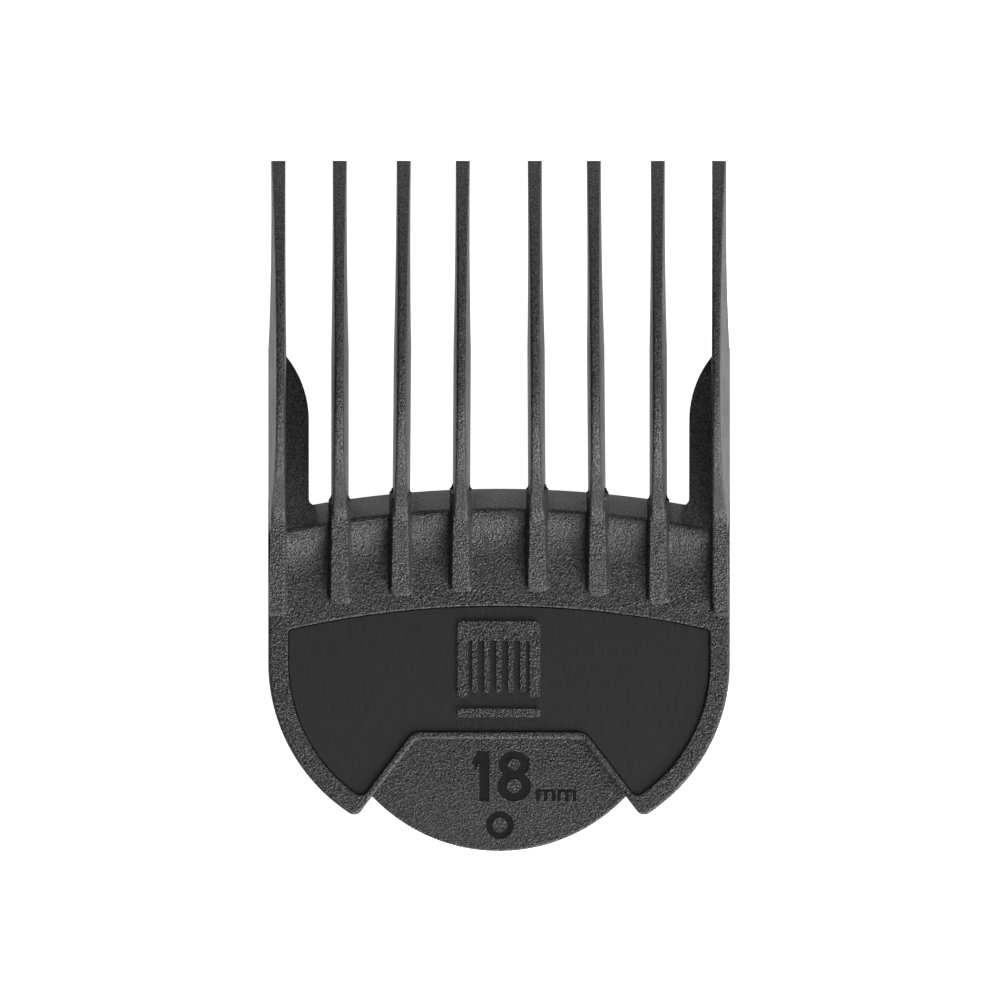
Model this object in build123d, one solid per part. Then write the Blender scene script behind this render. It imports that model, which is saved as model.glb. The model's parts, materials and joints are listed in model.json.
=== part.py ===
from build123d import *
import os
from math import acos, atan2, cos, degrees, radians, sin, sqrt, tan

# Clipper guard comb for an 18 mm cut, lying on its back.
# +X runs across the teeth, +Y towards their tips, +Z towards the skin side.
# The origin is the centre of the bounding box's bottom face. Millimetres.

# ---- driving dimensions ------------------------------------------------------------------
WIDTH = 48.0  # over the side walls
LENGTH = 71.8  # from the tab's edge to the tooth tips
CUT_LENGTH = 18.0  # hair length left, from the blade's face to the tooth crest
BLADE_WIDTH = 45.5
BLADE_THICKNESS = 2.8
TOOTH_COUNT = 8

# ---- levels, front to back ---------------------------------------------------------------
RAIL_THICKNESS = 1.2
SEAT_Z = RAIL_THICKNESS + BLADE_THICKNESS + 0.2  # the blade's front face rests here
LEDGE_TOP_Z = SEAT_Z + 1.2
PLATE_BACK_Z = 6.4
FACE_Z = 8.0
PANEL_FLOOR_Z = 7.15
INLAY_TOP_Z = 7.7
EMBLEM_TOP_Z = 7.95
CREST_Z = SEAT_Z + CUT_LENGTH

# ---- outline of the plate ----------------------------------------------------------------
TIP_Y = LENGTH / 2
TAB_Y = -LENGTH / 2
HALF = WIDTH / 2
LOBE_R = 18.72
LOBE_X = HALF - LOBE_R
LOBE_Y = -16.33
LOBE_TIP_R = 0.9
NOTCH_TOP_Y = -24.26
NOTCH_HALF = 8.6
NOTCH_SLOPE = tan(radians(52.4))
NOTCH_CORNER_R = 1.0
RIM = 2.08
NOTCH_BAND = 0.76
PANEL_TOP_Y = -10.38
PANEL_TOP_R = 98.3
INLAY_GAP = 0.04
PLATE_EDGE_R = 0.35
RECESS_EDGE_R = 0.2

# ---- web between the teeth, a profile turned about a far axis ----------------------------
WEB_AXIS_Y = -112.2
WEB_TOP_Y = 1.8
WEB_CREASE_Y = -0.3
WEB_CREASE_Z = 9.5
WEB_CREASE_R = 0.5
WEB_FOOT_Y = -5.2
WEB_BACK_Y = -8.0  # a straight seam with the plate

# ---- teeth -------------------------------------------------------------------------------
TOOTH_X_FOOT = (3.97, 10.25, 16.56)  # inner teeth, at the plate
TOOTH_X_TIP = (3.74, 9.88, 16.54)
TOOTH_WIDTH = 1.84
DRAFT = tan(radians(1.5))
OUTER_DRAFT = tan(radians(3.1))
OUTER_INNER_DRAFT = tan(radians(0.5))
OUTER_INNER_X = 22.12
FOOT_LINE_Y = -8.66
FOOT_LINE_R = 102.4
FOOT_TOP_Z = 8.75
FOOT_HALF = 1.15
FOOT_FLARE = 15  # degrees
FOOT_TILT = 10.2  # degrees, of the line where the flare starts
FOOT_CORNER_R = 0.6
FOOT_EDGE_R = 0.15
SKIRT = 0.16
ROOT_R = 0.55
RISE_Y = -0.6
RISE_Z = 10.9
RISE_END = (2.2, 16.2)
RISE_R = 3.0
CREST_Y = 12.0
TIP_FRONT_Z = 13.0
TIP_BACK_Z = 10.7
BLADE_EDGE_Y = 16.4
BACK_CLEAR = 0.2
EDGE_R = 0.28

# ---- side walls, ledges and rails --------------------------------------------------------
WALL_INNER_X = (BLADE_WIDTH + 0.2) / 2
LEDGE_INNER_X = 19.78
LEDGE_TURN_Y = 8.9
LEDGE_ARC_R = 10.66
LEDGE_CORNER_R = 0.7
WING_HIGH = (-2.4, 9.35)  # (y, z) where the wing leaves the web's crease
WING_LOW_Y = 14.0
RAIL_INNER_X = WALL_INNER_X - 2.0
RAIL_Y = (-11.0, 8.0)

# ---- release lever -----------------------------------------------------------------------
TAB_R = 18.2
TAB_EDGE_R = 0.25
LEVER_BACK_Z = 4.3
LEVER_TOP_Z = 6.1
LEVER_OVERLAP = 1.5
PIVOT_Y = -21.6
PIVOT_Z = 4.6
PIN_R = 0.75
PIN_PLAY = 0.04
KNUCKLE_R = 1.5
KNUCKLE_OUTER_X = 6.0
KNUCKLE_INNER_X = 2.1
LUG_GAP = 0.3
LUG_THICKNESS = 1.6
ARM_HALF = 4.2
ARM_TOP_Z = 5.0
ARM_END_Y = -14.4
NOSE_DEPTH = 0.8
MARK_DEPTH = 0.25
MARK_FILL = 0.12

# ---- torsion spring ----------------------------------------------------------------------
WIRE_R = 0.2
COIL_R = 1.15
COIL_PITCH = 0.6
COIL_FULL_TURNS = 5
TAB_LEG_TILT = 10  # degrees, of the leg under the tab
PLATE_LEG_TILT = 35  # degrees, of the leg that bears on the plate


def prism(face, z_low, z_high):
    """A flat face at z = 0, made solid from z_low to z_high."""
    return extrude(Pos(0, 0, z_low) * face, z_high - z_low)


def closed_face(*corners):
    """A flat face in XY whose outline runs through the corners."""
    return make_face(Polyline(*corners, close=True))


def box_between(low, high):
    """A block from its lowest corner to its highest."""
    size = [b - a for a, b in zip(low, high)]
    middle = [(a + b) / 2 for a, b in zip(low, high)]
    return Pos(*middle) * Box(*size)


def side_profile(edges, x_low, x_high):
    """A closed outline drawn as (y, z) edges, made solid from x_low to x_high."""
    plane = Plane(origin=(x_low, 0, 0), x_dir=(0, 1, 0), z_dir=(1, 0, 0))
    return extrude(plane * make_face(edges), x_high - x_low)


# ---- plate outline -----------------------------------------------------------------------
def lobed_outline(inset, top_y):
    """The plate's outline with no notch, moved in by inset."""
    radius = LOBE_R - inset
    half = LOBE_X + radius
    upright = closed_face(
        (-half, top_y), (-half, LOBE_Y), (half, LOBE_Y), (half, top_y)
    )
    middle = closed_face(
        (-LOBE_X, LOBE_Y),
        (-LOBE_X, LOBE_Y - radius),
        (LOBE_X, LOBE_Y - radius),
        (LOBE_X, LOBE_Y),
    )
    rounds = [Pos(side * LOBE_X, LOBE_Y) * Circle(radius) for side in (-1, 1)]
    return upright + middle + rounds


def notch(grow):
    """The notch that the tab shows through, widening downwards, made larger by grow."""
    top_y = NOTCH_TOP_Y + grow
    widen = grow * sqrt(1 + 1 / NOTCH_SLOPE**2) - grow / NOTCH_SLOPE
    top_half = NOTCH_HALF + widen
    low_y = 2 * TAB_Y
    low_half = top_half + (top_y - low_y) / NOTCH_SLOPE
    return closed_face(
        (-top_half, top_y), (top_half, top_y), (low_half, low_y), (-low_half, low_y)
    )


def round_corners(face, wanted, radius):
    """Rounds those corners of a flat face that wanted picks."""
    corners = [v for v in face.vertices() if wanted(v.X, v.Y)]
    return fillet(corners, radius)


def notched_outline(top_y):
    """The plate's outline with its notch and rounded corners, up to top_y."""
    face = lobed_outline(0, top_y) - notch(0)
    face = round_corners(face, lambda x, y: y < -30, LOBE_TIP_R)
    return round_corners(
        face, lambda x, y: abs(y - NOTCH_TOP_Y) < 0.01, NOTCH_CORNER_R
    )


def plate_face():
    """The notched plate, below the web."""
    below_web = closed_face(
        (-HALF, WEB_BACK_Y), (HALF, WEB_BACK_Y), (HALF, -HALF - LOBE_R), (-HALF, -HALF - LOBE_R)
    )
    return notched_outline(WEB_BACK_Y) & below_web


def panel_face(gap):
    """The recess in the plate, made smaller all round by gap."""
    top = Pos(0, PANEL_TOP_Y - gap - PANEL_TOP_R) * Circle(PANEL_TOP_R)
    face = (lobed_outline(RIM + gap, 0) & top) - notch(NOTCH_BAND + gap)
    notch_y = NOTCH_TOP_Y + NOTCH_BAND + gap
    face = round_corners(face, lambda x, y: y < -27, 0.8 - gap)
    face = round_corners(
        face, lambda x, y: abs(y - notch_y) < 0.01, NOTCH_CORNER_R + NOTCH_BAND + gap
    )
    return round_corners(face, lambda x, y: y > LOBE_Y + 1, 0.5 - gap)


def face_plate():
    """The plate with its panel recess, with soft front edges."""
    plate = prism(plate_face(), PLATE_BACK_Z, FACE_Z)
    front = plate.faces().sort_by(Axis.Z)[-1]
    outer = [e for e in front.edges() if e.center().Y < WEB_BACK_Y - 0.01]
    plate = fillet(outer, PLATE_EDGE_R)
    plate = plate - prism(panel_face(0), PANEL_FLOOR_Z, FACE_Z + 1)
    front = plate.faces().filter_by(Axis.Z).sort_by(Axis.Z)[-1]
    return fillet(front.inner_wires()[0].edges(), RECESS_EDGE_R)


def face_inlay():
    inlay = prism(panel_face(INLAY_GAP), PANEL_FLOOR_Z, INLAY_TOP_Z)
    return chamfer(inlay.faces().sort_by(Axis.Z)[-1].edges(), 0.08)


# ---- emblem: a small comb over a bar -----------------------------------------------------
EMBLEM_HALF = 4.3
EMBLEM_TOP_Y = -12.0
EMBLEM_LOW_Y = -19.9
EMBLEM_SPINE = 2.0
EMBLEM_TEETH = 7
EMBLEM_BAR_Y = -21.55
EMBLEM_BAR_HEIGHT = 0.9


def emblem():
    spine_y = EMBLEM_TOP_Y - EMBLEM_SPINE / 2
    spine = Pos(0, spine_y) * RectangleRounded(2 * EMBLEM_HALF, EMBLEM_SPINE, 0.7)
    comb = spine
    spacing = 2 * (EMBLEM_HALF - 0.55) / (EMBLEM_TEETH - 1)
    for index in range(EMBLEM_TEETH):
        outer = index in (0, EMBLEM_TEETH - 1)
        width = 1.1 if outer else 0.55
        low_y = EMBLEM_LOW_Y if outer else EMBLEM_LOW_Y + 0.5
        height = spine_y - low_y
        tooth = RectangleRounded(width, height, 0.24)
        x = -EMBLEM_HALF + 0.55 + index * spacing
        comb = comb + Pos(x, low_y + height / 2) * tooth
    bar = Pos(0, EMBLEM_BAR_Y) * RectangleRounded(
        2 * EMBLEM_HALF, EMBLEM_BAR_HEIGHT, 0.3
    )
    solids = [prism(part, INLAY_TOP_Z, EMBLEM_TOP_Z) for part in (comb, bar)]
    return Compound(children=[s for part in solids for s in part.solids()])


# ---- web ---------------------------------------------------------------------------------
RIDGE_SLOPE = radians(35)
RAMP_R = 5.7
RIDGE_R = 2.2


def web_profile(back_y):
    """The web's section at the middle of the comb, as a face in (y, z), down to back_y."""
    ramp_end = (
        WEB_FOOT_Y + RAMP_R * sin(RIDGE_SLOPE),
        FACE_Z + RAMP_R * (1 - cos(RIDGE_SLOPE)),
    )
    ramp_middle = (
        WEB_FOOT_Y + RAMP_R * sin(RIDGE_SLOPE / 2),
        FACE_Z + RAMP_R * (1 - cos(RIDGE_SLOPE / 2)),
    )
    ridge_end = (WEB_CREASE_Y, WEB_CREASE_Z)
    tangent = (cos(RIDGE_SLOPE), sin(RIDGE_SLOPE))
    back = Polyline(
        ridge_end,
        (WEB_TOP_Y - 0.25, SEAT_Z + 1.0),
        (WEB_TOP_Y, SEAT_Z + 0.4),
        (WEB_TOP_Y, SEAT_Z),
        (back_y, SEAT_Z),
        (back_y, FACE_Z),
        (WEB_FOOT_Y, FACE_Z),
    )
    ramp = ThreePointArc((WEB_FOOT_Y, FACE_Z), ramp_middle, ramp_end)
    ridge = TangentArc(ramp_end, ridge_end, tangent=tangent)
    face = make_face(back + ramp + ridge)
    return round_corners(
        face, lambda y, z: abs(y - WEB_CREASE_Y) + abs(z - WEB_CREASE_Z) < 0.01, WEB_CREASE_R
    )


def web_ring():
    """The web's profile turned about its far axis."""
    plane = Plane(origin=(0, 0, 0), x_dir=(0, 1, 0), z_dir=(1, 0, 0))
    section = plane * web_profile(WEB_BACK_Y - 0.4)
    axis = Axis((0, WEB_AXIS_Y, 0), (0, 0, 1))
    half_angle = 16
    ring = revolve(section, axis, 2 * half_angle)
    return ring.rotate(axis, -half_angle)


def wing():
    """The right-hand slope from the web's crease down to the end of the blade ledge."""
    crease_y, crease_z = WING_HIGH
    slope = Polyline(
        (crease_y, SEAT_Z), WING_HIGH, (WING_LOW_Y, LEDGE_TOP_Z), (WING_LOW_Y, SEAT_Z), close=True
    )
    block = side_profile(slope, 0, WALL_INNER_X)
    return block & prism(ledge_outline(), LEDGE_TOP_Z, crease_z)


def front_web(others):
    """The web and its wings, cut back to the side walls and to what else stands in it."""
    web = web_ring() + wing() + mirrored(wing())
    web = web & box_between((-HALF, WEB_BACK_Y, 0), (HALF, TIP_Y, CREST_Z))
    for other in others:
        web = web - other
    return web


# ---- teeth -------------------------------------------------------------------------------
def foot_y(x):
    """Where a tooth's foot ends on the plate."""
    return FOOT_LINE_Y - (FOOT_LINE_R - sqrt(FOOT_LINE_R**2 - x**2))


def rib_slope(low_y):
    """How steeply a tooth's rib rises from its lower end to the foot of the tooth."""
    return (RISE_Z - FOOT_TOP_Z) / (RISE_Y - low_y)


def tooth_side(low_y, back_z):
    """A tooth's side view, as (y, z) edges, with its back at back_z over the blade."""
    start_y = low_y + 2 * FOOT_CORNER_R
    start_z = FOOT_TOP_Z + rib_slope(low_y) * (start_y - low_y)
    slope = atan2(RISE_END[1] - RISE_Z, RISE_END[0] - RISE_Y)
    rise = FilletPolyline((start_y, start_z), (RISE_Y, RISE_Z), RISE_END, radius=RISE_R)
    up = TangentArc(RISE_END, (CREST_Y, CREST_Z), tangent=(cos(slope), sin(slope)))
    down = TangentArc((CREST_Y, CREST_Z), (TIP_Y, TIP_FRONT_Z), tangent=(1, 0))
    tip = Line((TIP_Y, TIP_FRONT_Z), (TIP_Y, TIP_BACK_Z))
    back_start = (BLADE_EDGE_Y + 1.6, back_z + 1.4)
    back_arc = TangentArc(back_start, (TIP_Y, TIP_BACK_Z), tangent=(1, 0.82))
    back = Polyline(
        back_start, (BLADE_EDGE_Y, back_z), (start_y, back_z), (start_y, start_z)
    )
    return rise + up + down + tip + back_arc + back


def side_plane(x, draft, outward, level):
    """A nearly upright plane through x at z = level, whose normal faces outward."""
    return Plane(origin=(x, 0, level), z_dir=(outward, 0, draft))


def below(solid, plane):
    """The part of a solid behind a plane."""
    return split(solid, bisect_by=plane, keep=Keep.BOTTOM)


def foot_outline(half, length, grow):
    """A foot's outline with its lower end at y = 0 and round lower corners, larger by grow."""
    face = closed_face(
        (-half - grow, -grow), (half + grow, -grow), (half + grow, length), (-half - grow, length)
    )
    return round_corners(face, lambda x, y: y < 0.01, FOOT_CORNER_R + grow)


def web_end_y(x):
    """Where the web ends towards the tips."""
    return WEB_AXIS_Y + sqrt((WEB_TOP_Y - WEB_AXIS_Y) ** 2 - x**2)


def foot_root(x_mid, half):
    """The foot's root in front of the web's end, with a small hollow round on each side."""
    high_y = web_end_y(x_mid) + ROOT_R
    root = closed_face(
        (x_mid - half, WEB_CREASE_Y),
        (x_mid + half, WEB_CREASE_Y),
        (x_mid + half, high_y),
        (x_mid - half, high_y),
    )
    for side in (-1, 1):
        root = root - Pos(x_mid + side * (TOOTH_WIDTH / 2 + ROOT_R), high_y) * Circle(ROOT_R)
    return root


def side_skirt(x, side, low_y):
    """A small 45 degree strip along one side of a foot, over the plate and the web."""
    turn = x / (WEB_CREASE_Y - WEB_AXIS_Y)
    drop = x * turn / 2
    section = Pos(-drop, SKIRT) * web_profile(low_y + 2 * FOOT_CORNER_R + drop)
    plane = Plane(origin=(x, 0, 0), x_dir=(0, 1, 0), z_dir=(1, 0, 0))
    section = plane * section
    return extrude(section, 2 * SKIRT, dir=(side, -side * turn, -1))


def foot(x_mid, half, low_y):
    """The flared foot of a tooth on the plate and the web."""
    length = (web_end_y(x_mid) - low_y) / cos(radians(FOOT_TILT))
    tilted = Plane(origin=(x_mid, low_y, FACE_Z), x_dir=(1, 0, 0),
                   z_dir=(0, -sin(radians(FOOT_TILT)), cos(radians(FOOT_TILT))))
    outline = tilted * foot_outline(half, length, 0)
    flared = extrude(outline, RISE_Z - FACE_Z, taper=FOOT_FLARE)
    top = Plane(origin=(0, RISE_Y, RISE_Z), z_dir=(0, -rib_slope(low_y), 1))
    flared = below(flared, top)
    top_face = max(flared.faces(), key=lambda f: f.normal_at().Z)
    rim = [e for e in top_face.edges() if e.center().Y < RISE_Y]
    flared = fillet(rim, FOOT_EDGE_R)
    upright = extrude(outline, FACE_Z - SEAT_Z - BACK_CLEAR, dir=(0, 0, -1))
    root = prism(foot_root(x_mid, half), SEAT_Z + BACK_CLEAR, FACE_Z)
    skirt_outline = Pos(x_mid, low_y) * foot_outline(half, WEB_FOOT_Y - 2 - low_y, SKIRT)
    skirt = prism(skirt_outline, PANEL_FLOOR_Z, FACE_Z + SKIRT)
    skirt = chamfer(skirt.faces().sort_by(Axis.Z)[-1].edges(), SKIRT)
    whole = flared + upright + root + skirt
    for side in (-1, 1):
        whole = whole + side_skirt(x_mid + side * half, side, low_y)
    return whole & box_between((-WIDTH, -HALF, SEAT_Z + BACK_CLEAR), (WIDTH, TIP_Y, RISE_Z))


def inner_tooth(x_foot, x_tip):
    """One of the six teeth that stand between the outer two, turned a little to its tip."""
    low_y = foot_y(x_foot)
    blade = side_profile(tooth_side(low_y, SEAT_Z + BACK_CLEAR), -3, 3)
    for side in (-1, 1):
        blade = below(blade, side_plane(side * TOOTH_WIDTH / 2, DRAFT, side, SEAT_Z))
    lean = degrees(atan2(x_foot - x_tip, TIP_Y - FOOT_LINE_Y))
    turned = Pos(x_foot, FOOT_LINE_Y) * Rot(0, 0, lean) * Pos(0, -FOOT_LINE_Y)
    return turned * round_front(blade) + foot(x_foot, FOOT_HALF, low_y)


def outer_tooth():
    """The right-hand outer tooth, flush with the side wall."""
    low_y = foot_y(HALF - 1)
    outer_plane = side_plane(HALF, OUTER_DRAFT, 1, LEDGE_TOP_Z)
    blade = side_profile(tooth_side(low_y, LEDGE_TOP_Z), HALF - 4, HALF + 1)
    blade = below(blade, outer_plane)
    blade = below(blade, side_plane(OUTER_INNER_X, OUTER_INNER_DRAFT, -1, LEDGE_TOP_Z))
    half = HALF + 1 - OUTER_INNER_X
    side_foot = foot(HALF + 1, half, low_y)
    side_foot = below(side_foot, outer_plane)
    side_foot = side_foot & box_between((0, -HALF, LEDGE_TOP_Z), (HALF, TIP_Y, CREST_Z))
    return round_front(blade) + side_foot


def round_front(blade):
    """Rounds the two long edges on the skin side of a tooth, from its foot to its tip."""
    front = [
        e
        for e in blade.edges()
        if e.center().Z > RISE_Z - 0.2
        and e.center().Y < TIP_Y - 0.5
        and abs((e % 0.5).X) < 0.5
    ]
    return fillet(front, EDGE_R)


def cut_off(tooth, others):
    """The tooth without what it stands on."""
    for other in others:
        tooth = tooth - other
    return max(tooth.solids(), key=lambda s: s.volume)


# ---- side walls, ledges, rails -----------------------------------------------------------
def side_wall():
    """The right-hand wall of the blade pocket, running round to the lobe's tip."""
    reach_y = BLADE_EDGE_Y
    ring = notched_outline(reach_y)
    ring = ring - lobed_outline(HALF - WALL_INNER_X, reach_y + 1)
    right = closed_face((3, -40), (HALF + 1, -40), (HALF + 1, 40), (3, 40))
    ring = ring & right
    low = prism(ring, 0, LEDGE_TOP_Z)
    behind_web = closed_face((3, -40), (HALF + 1, -40), (HALF + 1, 0.6), (3, 0.6))
    high = prism(ring & behind_web, LEDGE_TOP_Z, PLATE_BACK_Z)
    wall = low + high
    end = [e for e in wall.edges().filter_by(Axis.X) if e.center().Y > reach_y - 0.1]
    return fillet([e for e in end if e.center().Z < 1], 2.5)


def ledge_outline():
    """The right-hand ledge seen from the front, with a hollow round towards the web."""
    x_out = WALL_INNER_X
    rise = x_out - LEDGE_INNER_X
    end_angle = acos(1 - rise / LEDGE_ARC_R)
    end = (x_out, LEDGE_TURN_Y + LEDGE_ARC_R * sin(end_angle))
    middle = (
        LEDGE_INNER_X + LEDGE_ARC_R * (1 - cos(end_angle / 2)),
        LEDGE_TURN_Y + LEDGE_ARC_R * sin(end_angle / 2),
    )
    low_y = LOBE_Y + 1.5
    outline = Polyline(
        end, (x_out, low_y), (LEDGE_INNER_X, low_y), (LEDGE_INNER_X, LEDGE_TURN_Y)
    )
    arc = ThreePointArc((LEDGE_INNER_X, LEDGE_TURN_Y), middle, end)
    corner_y = web_end_y(LEDGE_INNER_X)
    low_corner = (LEDGE_INNER_X - LEDGE_CORNER_R, WING_HIGH[0])
    high_corner = (LEDGE_INNER_X, corner_y + LEDGE_CORNER_R)
    corner = closed_face(
        low_corner, (high_corner[0], low_corner[1]), high_corner, (low_corner[0], high_corner[1])
    )
    corner = corner - Pos(low_corner[0], high_corner[1]) * Circle(LEDGE_CORNER_R)
    return make_face(outline + arc) + corner


def blade_ledge():
    """The right-hand ledge that the blade's edge bears on."""
    return prism(ledge_outline(), SEAT_Z, LEDGE_TOP_Z)


def rear_rail():
    """The right-hand rail that holds the blade in the pocket from behind."""
    low_y, high_y = RAIL_Y
    lead = 1.2
    outline = closed_face(
        (WALL_INNER_X, low_y),
        (WALL_INNER_X, high_y),
        (RAIL_INNER_X + lead, high_y),
        (RAIL_INNER_X, high_y - 2 * lead),
        (RAIL_INNER_X, low_y + lead),
        (RAIL_INNER_X + lead, low_y),
    )
    rail = prism(outline, 0, RAIL_THICKNESS)
    lead_in = rail.edges().filter_by(Axis.Y).sort_by(Axis.X)[0:2].sort_by(Axis.Z)[-1]
    return chamfer(lead_in, 0.5)


def mirrored(solid):
    return mirror(solid, about=Plane.YZ)


# ---- release lever -----------------------------------------------------------------------
def upright_round(y, z, radius, x_low, x_high):
    """A cylinder along X."""
    return Pos((x_low + x_high) / 2, y, z) * Rot(0, 90, 0) * Cylinder(radius, x_high - x_low)


def lug(side):
    """A lug under the plate that holds one end of the hinge pin."""
    inner = KNUCKLE_OUTER_X + LUG_GAP
    outer = inner + LUG_THICKNESS
    low_x, high_x = sorted((side * inner, side * outer))
    round_part = upright_round(PIVOT_Y, PIVOT_Z, 1.7, low_x, high_x)
    stem = box_between(
        (low_x, PIVOT_Y - 1.7, PIVOT_Z), (high_x, PIVOT_Y + 1.7, PLATE_BACK_Z)
    )
    bore = upright_round(PIVOT_Y, PIVOT_Z, PIN_R, low_x - 1, high_x + 1)
    return round_part + stem - bore


def pin_half_length():
    return KNUCKLE_OUTER_X + LUG_GAP + LUG_THICKNESS


def hinge_pin():
    half = pin_half_length()
    pin = upright_round(PIVOT_Y, PIVOT_Z, PIN_R, -half, half)
    return chamfer(pin.edges(), 0.12)


def tab_face():
    """The tab's outline: a circle, cut to what shows in the notch and a lap behind the rim."""
    circle = Pos(0, TAB_Y + TAB_R) * Circle(TAB_R)
    below_pivot = closed_face(
        (-30, PIVOT_Y - 0.2), (30, PIVOT_Y - 0.2), (30, -50), (-30, -50)
    )
    return circle & notch(LEVER_OVERLAP) & below_pivot


def digit_one(left, low, height):
    """A sturdy figure 1 with a slanting flag."""
    stem = height * 0.2
    width = height * 0.345
    return closed_face(
        (left + width - stem, low),
        (left + width, low),
        (left + width, low + height),
        (left + width - stem * 1.15, low + height),
        (left, low + height * 0.79),
        (left + stem * 0.35, low + height * 0.64),
        (left + width - stem, low + height * 0.76),
    )


def digit_eight(left, low, height):
    """A sturdy figure 8 of two stacked rounds."""
    low_r = height * 0.3
    high_r = height * 0.265
    middle_x = left + height * 0.325
    low_oval = Pos(middle_x, low + low_r) * Ellipse(height * 0.34, low_r)
    high_oval = Pos(middle_x, low + height - high_r) * Ellipse(height * 0.31, high_r)
    low_hole = Pos(middle_x, low + low_r) * Ellipse(height * 0.143, height * 0.135)
    high_hole = Pos(middle_x, low + height - high_r) * Ellipse(
        height * 0.125, height * 0.11
    )
    return low_oval + high_oval - low_hole - high_hole


def letter_m(left, low, height):
    """A small rounded letter m."""
    stroke = height * 0.3
    gap = height * 0.35
    width = 3 * stroke + 2 * gap
    outer = Pos(left + width / 2, low + height / 2) * RectangleRounded(
        width, height, height * 0.28
    )
    square_low = closed_face(
        (left, low), (left + width, low), (left + width, low + height / 2),
        (left, low + height / 2),
    )
    square_left = closed_face(
        (left, low), (left + stroke, low), (left + stroke, low + height),
        (left, low + height),
    )
    letter = outer + square_low + square_left
    for index in range(2):
        x = left + stroke + index * (stroke + gap) + gap / 2
        slot = Pos(x, low + height * 0.3) * RectangleRounded(gap, height, gap * 0.45)
        letter = letter - slot
    return letter


MARK_LOW_Y = -30.7
MARK_HEIGHT = 5.2
UNIT_HEIGHT = 1.25
RING_X = 0.1
RING_Y = -33.2
RING_OUTER_R = 1.44
RING_INNER_R = 0.79


def size_mark_faces():
    """The figures and the unit, as flat faces."""
    return [
        digit_one(-2.8, MARK_LOW_Y, MARK_HEIGHT),
        digit_eight(-0.12, MARK_LOW_Y, MARK_HEIGHT),
        letter_m(3.85, MARK_LOW_Y, UNIT_HEIGHT),
        letter_m(6.05, MARK_LOW_Y, UNIT_HEIGHT),
    ]


def ring_face():
    ring = Circle(RING_OUTER_R) - Circle(RING_INNER_R)
    return Pos(RING_X, RING_Y) * ring


def release_lever():
    tab = prism(tab_face(), LEVER_BACK_Z, LEVER_TOP_Z)
    knuckle = upright_round(
        PIVOT_Y, PIVOT_Z, KNUCKLE_R, -KNUCKLE_OUTER_X, KNUCKLE_OUTER_X
    )
    clear = upright_round(
        PIVOT_Y, PIVOT_Z, KNUCKLE_R + 0.35, KNUCKLE_OUTER_X, 2 * KNUCKLE_OUTER_X
    )
    tab = tab - clear - mirrored(clear)
    lug_room = box_between(
        (KNUCKLE_OUTER_X, PIVOT_Y - 2.1, 0), (2 * KNUCKLE_OUTER_X, PIVOT_Y + 3, FACE_Z)
    )
    tab = tab - lug_room - mirrored(lug_room)
    arm = box_between(
        (-ARM_HALF, PIVOT_Y, PIVOT_Z - 0.9), (ARM_HALF, ARM_END_Y, ARM_TOP_Z)
    )
    nose = box_between(
        (-3, ARM_END_Y - 1.6, SEAT_Z - NOSE_DEPTH), (3, ARM_END_Y, ARM_TOP_Z - 0.5)
    )
    under_arm = box_between(
        (-ARM_HALF - 1, PIVOT_Y + 1.8, 0), (ARM_HALF + 1, ARM_END_Y + 1, SEAT_Z + 0.1)
    )
    fork = box_between(
        (-KNUCKLE_INNER_X, PIVOT_Y, 0), (KNUCKLE_INNER_X, ARM_END_Y - 2.2, FACE_Z)
    )
    lever = tab + knuckle + (arm - under_arm - fork) + nose
    bore = upright_round(PIVOT_Y, PIVOT_Z, PIN_R + PIN_PLAY, -12, 12)
    coil_room = upright_round(
        PIVOT_Y, PIVOT_Z, KNUCKLE_R + 0.3, -KNUCKLE_INNER_X, KNUCKLE_INNER_X
    )
    lever = lever - bore - coil_room
    front_rim = [
        e
        for e in lever.edges().filter_by(GeomType.CIRCLE)
        if e.center().Y < PIVOT_Y and abs(e.position_at(0.5).Z - LEVER_TOP_Z) < 0.01
    ]
    lever = fillet(front_rim, TAB_EDGE_R)
    for face in size_mark_faces() + [ring_face()]:
        lever = lever - prism(face, LEVER_TOP_Z - MARK_DEPTH, LEVER_TOP_Z + 1)
    return lever


def mark_fill(faces):
    """Smooth fill in the floor of the sunk marks."""
    floor = LEVER_TOP_Z - MARK_DEPTH
    solids = [s for f in faces for s in prism(f, floor, floor + MARK_FILL).solids()]
    return Compound(children=solids)


def spring_leg(coil_end, direction, length):
    """A straight leg that leaves the coil's end along its wire."""
    return Plane(origin=coil_end, z_dir=direction) * Cylinder(
        WIRE_R, length, align=(Align.CENTER, Align.CENTER, Align.MIN)
    )


def return_spring():
    """A torsion spring round the pin: one leg lifts the tab, the other bears on the plate."""
    turns = COIL_FULL_TURNS + (TAB_LEG_TILT + PLATE_LEG_TILT) / 360
    length = turns * COIL_PITCH
    path = Helix(COIL_PITCH, length, COIL_R, center=(0, 0, 0), direction=(1, 0, 0))
    start = path @ 0
    start_angle = degrees(atan2(start.Z, start.Y))
    turned = Rot(-90 - TAB_LEG_TILT - start_angle, 0, 0) * path
    path = Pos(-length / 2, PIVOT_Y, PIVOT_Z) * turned
    section = Plane(origin=path @ 0, z_dir=path % 0) * Circle(WIRE_R)
    coil = sweep(section, path, is_frenet=True)
    tab_reach = (LEVER_BACK_Z - WIRE_R - (path @ 0).Z) / sin(radians(TAB_LEG_TILT))
    plate_reach = (PLATE_BACK_Z - WIRE_R - (path @ 1).Z) / sin(radians(PLATE_LEG_TILT))
    tab_leg = spring_leg(path @ 0, -(path % 0), tab_reach)
    plate_leg = spring_leg(path @ 1, path % 1, plate_reach)
    return coil + tab_leg + plate_leg


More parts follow.
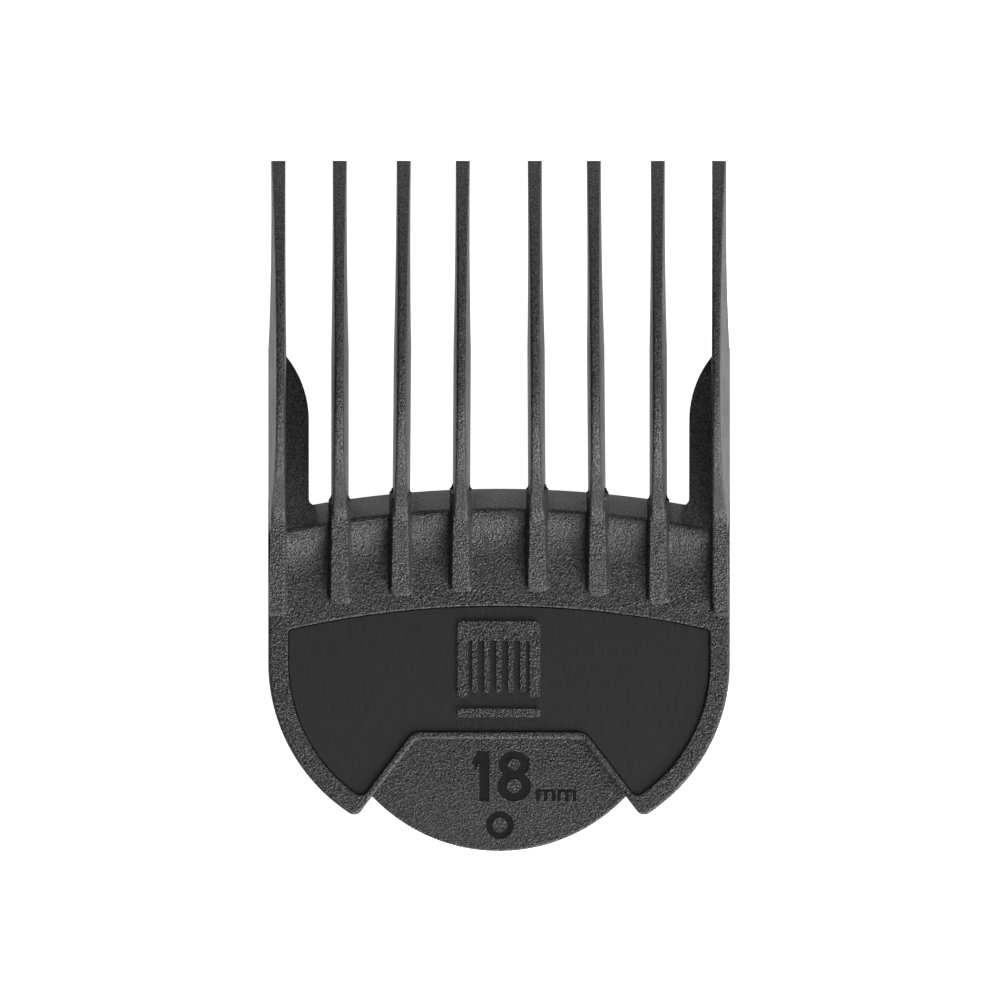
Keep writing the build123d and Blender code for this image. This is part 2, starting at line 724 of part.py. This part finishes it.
def build():
    wall = side_wall()
    ledge = blade_ledge()
    rail = rear_rail()
    plate = face_plate()
    fixed = [wall, mirrored(wall), ledge, mirrored(ledge)]
    web = front_web(fixed)
    tooth_base = [plate, web] + fixed
    nodes = {
        "face_plate": plate,
        "front_web": web,
        "side_wall_right": wall,
        "side_wall_left": mirrored(wall),
        "blade_ledge_right": ledge,
        "blade_ledge_left": mirrored(ledge),
        "rear_rail_right": rail,
        "rear_rail_left": mirrored(rail),
        "face_inlay": face_inlay(),
        "emblem": emblem(),
        "pivot_lug_right": lug(1),
        "pivot_lug_left": lug(-1),
        "hinge_pin": hinge_pin(),
        "release_lever": release_lever(),
        "size_mark": mark_fill(size_mark_faces()),
        "press_ring": mark_fill([ring_face()]),
        "return_spring": return_spring(),
    }
    half_count = TOOTH_COUNT // 2
    for index in range(half_count):
        if index < len(TOOTH_X_FOOT):
            tooth = inner_tooth(TOOTH_X_FOOT[index], TOOTH_X_TIP[index])
        else:
            tooth = outer_tooth()
        tooth = cut_off(tooth, tooth_base)
        nodes[f"tooth_{half_count + 1 + index}"] = tooth
        nodes[f"tooth_{half_count - index}"] = mirrored(tooth)
    return nodes


os.makedirs("parts", exist_ok=True)
for name, solid in build().items():
    export_step(solid, f"parts/{name}.step")
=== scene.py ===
"""Looks for the clipper guard comb: moulded black plastic on a white light table, seen from above."""

import json
import math

import bpy
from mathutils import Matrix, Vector


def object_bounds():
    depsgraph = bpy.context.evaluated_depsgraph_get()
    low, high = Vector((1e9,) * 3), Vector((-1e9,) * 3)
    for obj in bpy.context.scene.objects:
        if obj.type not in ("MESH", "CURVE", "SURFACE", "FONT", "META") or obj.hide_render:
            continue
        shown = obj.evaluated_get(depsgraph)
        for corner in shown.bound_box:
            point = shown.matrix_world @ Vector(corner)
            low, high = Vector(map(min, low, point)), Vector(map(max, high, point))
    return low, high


MM = 0.001

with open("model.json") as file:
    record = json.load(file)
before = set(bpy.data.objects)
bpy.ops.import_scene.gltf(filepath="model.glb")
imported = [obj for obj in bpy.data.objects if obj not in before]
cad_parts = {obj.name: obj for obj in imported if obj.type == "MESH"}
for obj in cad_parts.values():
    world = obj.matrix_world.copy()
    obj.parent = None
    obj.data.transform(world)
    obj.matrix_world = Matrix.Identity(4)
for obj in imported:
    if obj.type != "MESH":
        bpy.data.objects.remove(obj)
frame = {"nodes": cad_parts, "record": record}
nodes = frame["nodes"]
cad_low, cad_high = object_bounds()


# ---- material helpers --------------------------------------------------------------------
class Shader:
    """A node material with short calls for the nodes used here."""

    def __init__(self, name):
        self.material = bpy.data.materials.new(name)
        self.material.use_nodes = True
        self.tree = self.material.node_tree
        self.tree.nodes.clear()
        output = self.tree.nodes.new("ShaderNodeOutputMaterial")
        self.surface = self.tree.nodes.new("ShaderNodeBsdfPrincipled")
        self.link(self.surface.outputs["BSDF"], output.inputs["Surface"])
        self.place = self.tree.nodes.new("ShaderNodeTexCoord").outputs["Object"]

    def link(self, source, target):
        self.tree.links.new(source, target)

    def set(self, **values):
        for name, value in values.items():
            self.surface.inputs[name.replace("_", " ")].default_value = value

    def stretched(self, scale):
        mapping = self.tree.nodes.new("ShaderNodeMapping")
        mapping.inputs["Scale"].default_value = scale
        self.link(self.place, mapping.inputs["Vector"])
        return mapping.outputs["Vector"]

    def noise(self, feature, detail=2.0, rough=0.55, vector=None):
        """Noise whose features are about that long, in metres."""
        node = self.tree.nodes.new("ShaderNodeTexNoise")
        node.inputs["Scale"].default_value = 1 / feature
        node.inputs["Detail"].default_value = detail
        node.inputs["Roughness"].default_value = rough
        self.link(vector or self.place, node.inputs["Vector"])
        return node.outputs["Fac"]

    def cells(self, feature):
        """Round pits about that far apart, in metres."""
        node = self.tree.nodes.new("ShaderNodeTexVoronoi")
        node.feature = "SMOOTH_F1"
        node.inputs["Scale"].default_value = 1 / feature
        node.inputs["Smoothness"].default_value = 0.6
        self.link(self.place, node.inputs["Vector"])
        return node.outputs["Distance"]

    def spread(self, value, low, high, band=0.4):
        """A value from a narrow band about a half, stretched to run from low to high."""
        node = self.tree.nodes.new("ShaderNodeMapRange")
        node.inputs["From Min"].default_value = 0.5 - band / 2
        node.inputs["From Max"].default_value = 0.5 + band / 2
        node.inputs["To Min"].default_value = low
        node.inputs["To Max"].default_value = high
        self.link(value, node.inputs["Value"])
        return node.outputs["Result"]

    def blend(self, factor, dark, light):
        node = self.tree.nodes.new("ShaderNodeMix")
        node.data_type = "RGBA"
        node.inputs["A"].default_value = (*dark, 1)
        node.inputs["B"].default_value = (*light, 1)
        self.link(factor, node.inputs["Factor"])
        return node.outputs["Result"]

    def bump(self, height, depth, below=None):
        """A bump of that depth, in metres, over the bump below it."""
        node = self.tree.nodes.new("ShaderNodeBump")
        node.inputs["Strength"].default_value = 1.0
        node.inputs["Distance"].default_value = depth
        self.link(height, node.inputs["Height"])
        if below:
            self.link(below, node.inputs["Normal"])
        return node.outputs["Normal"]


def grey(value):
    return (value, value, value * 1.02)


def sparked_plastic(name):
    """Black plastic from a spark-eroded mould: fine hard grain over a faint flow mottle."""
    shade, depth, rough = 0.043, 0.09 * MM, 0.4
    m = Shader(name)
    grain = m.noise(0.12 * MM, 1.0, 0.5)
    mottle = m.noise(4 * MM)
    m.link(m.blend(m.spread(grain, 0, 1, 0.16), grey(0), grey(shade * 2)),
           m.surface.inputs["Base Color"])
    m.link(m.spread(mottle, rough - 0.04, rough + 0.05), m.surface.inputs["Roughness"])
    pits = m.bump(m.cells(0.24 * MM), depth)
    m.link(m.bump(grain, depth, pits), m.surface.inputs["Normal"])
    m.set(Specular_IOR_Level=0.5)
    return m.material


def smooth_plastic(name):
    """Smooth black plastic with faint polishing lines along the comb."""
    shade, rough = 0.023, 0.42
    m = Shader(name)
    lines = m.noise(0.16 * MM, 2.0, 0.5, m.stretched((1, 0.08, 1)))
    cloud = m.noise(6 * MM)
    m.link(m.blend(m.spread(lines, 0, 1), grey(shade * 0.82), grey(shade * 1.18)),
           m.surface.inputs["Base Color"])
    m.link(m.spread(cloud, rough - 0.03, rough + 0.04), m.surface.inputs["Roughness"])
    fine = m.bump(m.noise(0.12 * MM, 1.0), 0.04 * MM)
    m.link(m.bump(lines, 0.002 * MM, fine), m.surface.inputs["Normal"])
    m.set(Specular_IOR_Level=0.3)
    return m.material


def mark_plastic(name):
    """The dark half-gloss floor of the sunk marks."""
    m = Shader(name)
    cloud = m.noise(0.6 * MM)
    m.link(m.blend(m.spread(cloud, 0, 1), grey(0.006), grey(0.011)), m.surface.inputs["Base Color"])
    m.link(m.spread(cloud, 0.3, 0.4), m.surface.inputs["Roughness"])
    m.link(m.bump(m.noise(0.2 * MM), 0.003 * MM), m.surface.inputs["Normal"])
    m.set(Specular_IOR_Level=0.2)
    return m.material


def drawn_steel(name, axis_scale, shade):
    """Steel with fine lines along the way it was drawn or ground."""
    rough = 0.3
    m = Shader(name)
    lines = m.noise(0.05 * MM, 3.0, 0.6, m.stretched(axis_scale))
    m.link(m.blend(m.spread(lines, 0, 1), grey(shade * 0.85), grey(shade * 1.1)),
           m.surface.inputs["Base Color"])
    m.link(m.spread(lines, rough - 0.08, rough + 0.1), m.surface.inputs["Roughness"])
    m.link(m.bump(lines, 0.002 * MM), m.surface.inputs["Normal"])
    m.set(Metallic=1.0)
    return m.material


def dress(material, *names):
    """Gives CAD nodes a material in every slot."""
    for name in names:
        for material_slot in nodes[name].material_slots:
            material_slot.material = material


# ---- the comb ----------------------------------------------------------------------------
moulding = sparked_plastic("comb_moulding")
lever_moulding = sparked_plastic("lever_moulding")
emblem_plastic = sparked_plastic("emblem_plastic")
inlay_plastic = smooth_plastic("inlay_plastic")
mark_fill = mark_plastic("mark_fill")
pin_steel = drawn_steel("pin_steel", (0.05, 1, 1), 0.55)
spring_steel = drawn_steel("spring_steel", (1, 1, 1), 0.45)

slots = {"inlay": inlay_plastic, "emblem": emblem_plastic, "lever_moulding": lever_moulding,
         "mark_fill": mark_fill, "pin_steel": pin_steel, "spring_steel": spring_steel}
for part in frame["record"]["subparts"]:
    dress(slots.get(part["material_slot"], moulding), part["node"])


# ---- stage -------------------------------------------------------------------------------
WHITE_GLOW = 1.0  # what the camera sees
BOUNCE_GLOW = 0.75  # what lights the comb from below and shows in its sides
FLOOR_SIZE = 4.0
DOME_RADIUS = 3.0


def glowing(name, glow, seen):
    """Makes the mesh just added a glowing white surface, seen only by the camera or only by the comb."""
    surface = bpy.context.object
    surface.name = name
    surface.visible_camera = seen
    surface.visible_diffuse = not seen
    surface.visible_glossy = not seen
    m = Shader(name)
    m.set(Base_Color=(0.85, 0.85, 0.85, 1), Roughness=0.6,
          Emission_Color=(1, 1, 1, 1), Emission_Strength=glow)
    surface.data.materials.append(m.material)
    return surface


def light_table():
    """A wide white floor that glows, like the table that small products are photographed on."""
    for name, drop, glow, seen in (("floor", 0.02, WHITE_GLOW, True),
                                   ("floor_bounce", 0.05, BOUNCE_GLOW, False)):
        bpy.ops.mesh.primitive_plane_add(size=FLOOR_SIZE, location=(0, 0, cad_low.z - drop * MM))
        glowing(name, glow, seen)


def backdrop():
    """A white dome far behind the lamps, with no effect on the light."""
    bpy.ops.mesh.primitive_uv_sphere_add(radius=DOME_RADIUS, location=(0, 0, 0))
    glowing("backdrop", WHITE_GLOW, True).visible_shadow = False


def softbox(name, direction, distance, size, power):
    """A rectangular area light that faces the comb from a direction, in metres and watts."""
    light = bpy.data.lights.new(name, "AREA")
    light.shape = "RECTANGLE"
    light.size, light.size_y = size
    light.energy = power
    lamp = bpy.data.objects.new(name, light)
    bpy.context.collection.objects.link(lamp)
    aim = Vector(direction).normalized()
    lamp.location = aim * distance
    lamp.rotation_euler = aim.to_track_quat("Z", "Y").to_euler()


def studio():
    """A dim white room with a low key light from the tab's side, and weaker lamps round the comb."""
    world = bpy.data.worlds.new("studio")
    bpy.context.scene.world = world
    world.use_nodes = True
    background = world.node_tree.nodes["Background"]
    background.inputs["Color"].default_value = (1, 1, 1, 1)
    background.inputs["Strength"].default_value = 0.06
    softbox("key", (0.6, -1.0, 0.45), 0.6, (0.4, 0.3), 6.2)
    softbox("right", (1.0, -0.2, 0.25), 0.6, (0.25, 0.15), 0.5)
    softbox("back", (0.1, 1.0, 0.45), 0.7, (0.4, 0.3), 1.5)
    softbox("top", (0.1, -0.1, 1.0), 0.9, (0.6, 0.6), 1.2)


def camera():
    """Straight above the comb, with its tips at the top of the picture."""
    frame_width = 104 * MM
    shift_x, shift_y = 0.07 * MM, 0.62 * MM
    turn = math.radians(0.3)
    distance = 0.5
    data = bpy.data.cameras.new("camera")
    data.type = "ORTHO"
    data.ortho_scale = frame_width
    data.clip_start, data.clip_end = 0.01, 10
    cam = bpy.data.objects.new("camera", data)
    bpy.context.collection.objects.link(cam)
    cam.location = (shift_x + distance * math.sin(turn), shift_y, distance * math.cos(turn))
    cam.rotation_euler = (0, turn, 0)
    bpy.context.scene.camera = cam


light_table()
backdrop()
studio()
camera()
bpy.context.scene.view_settings.view_transform = "Standard"
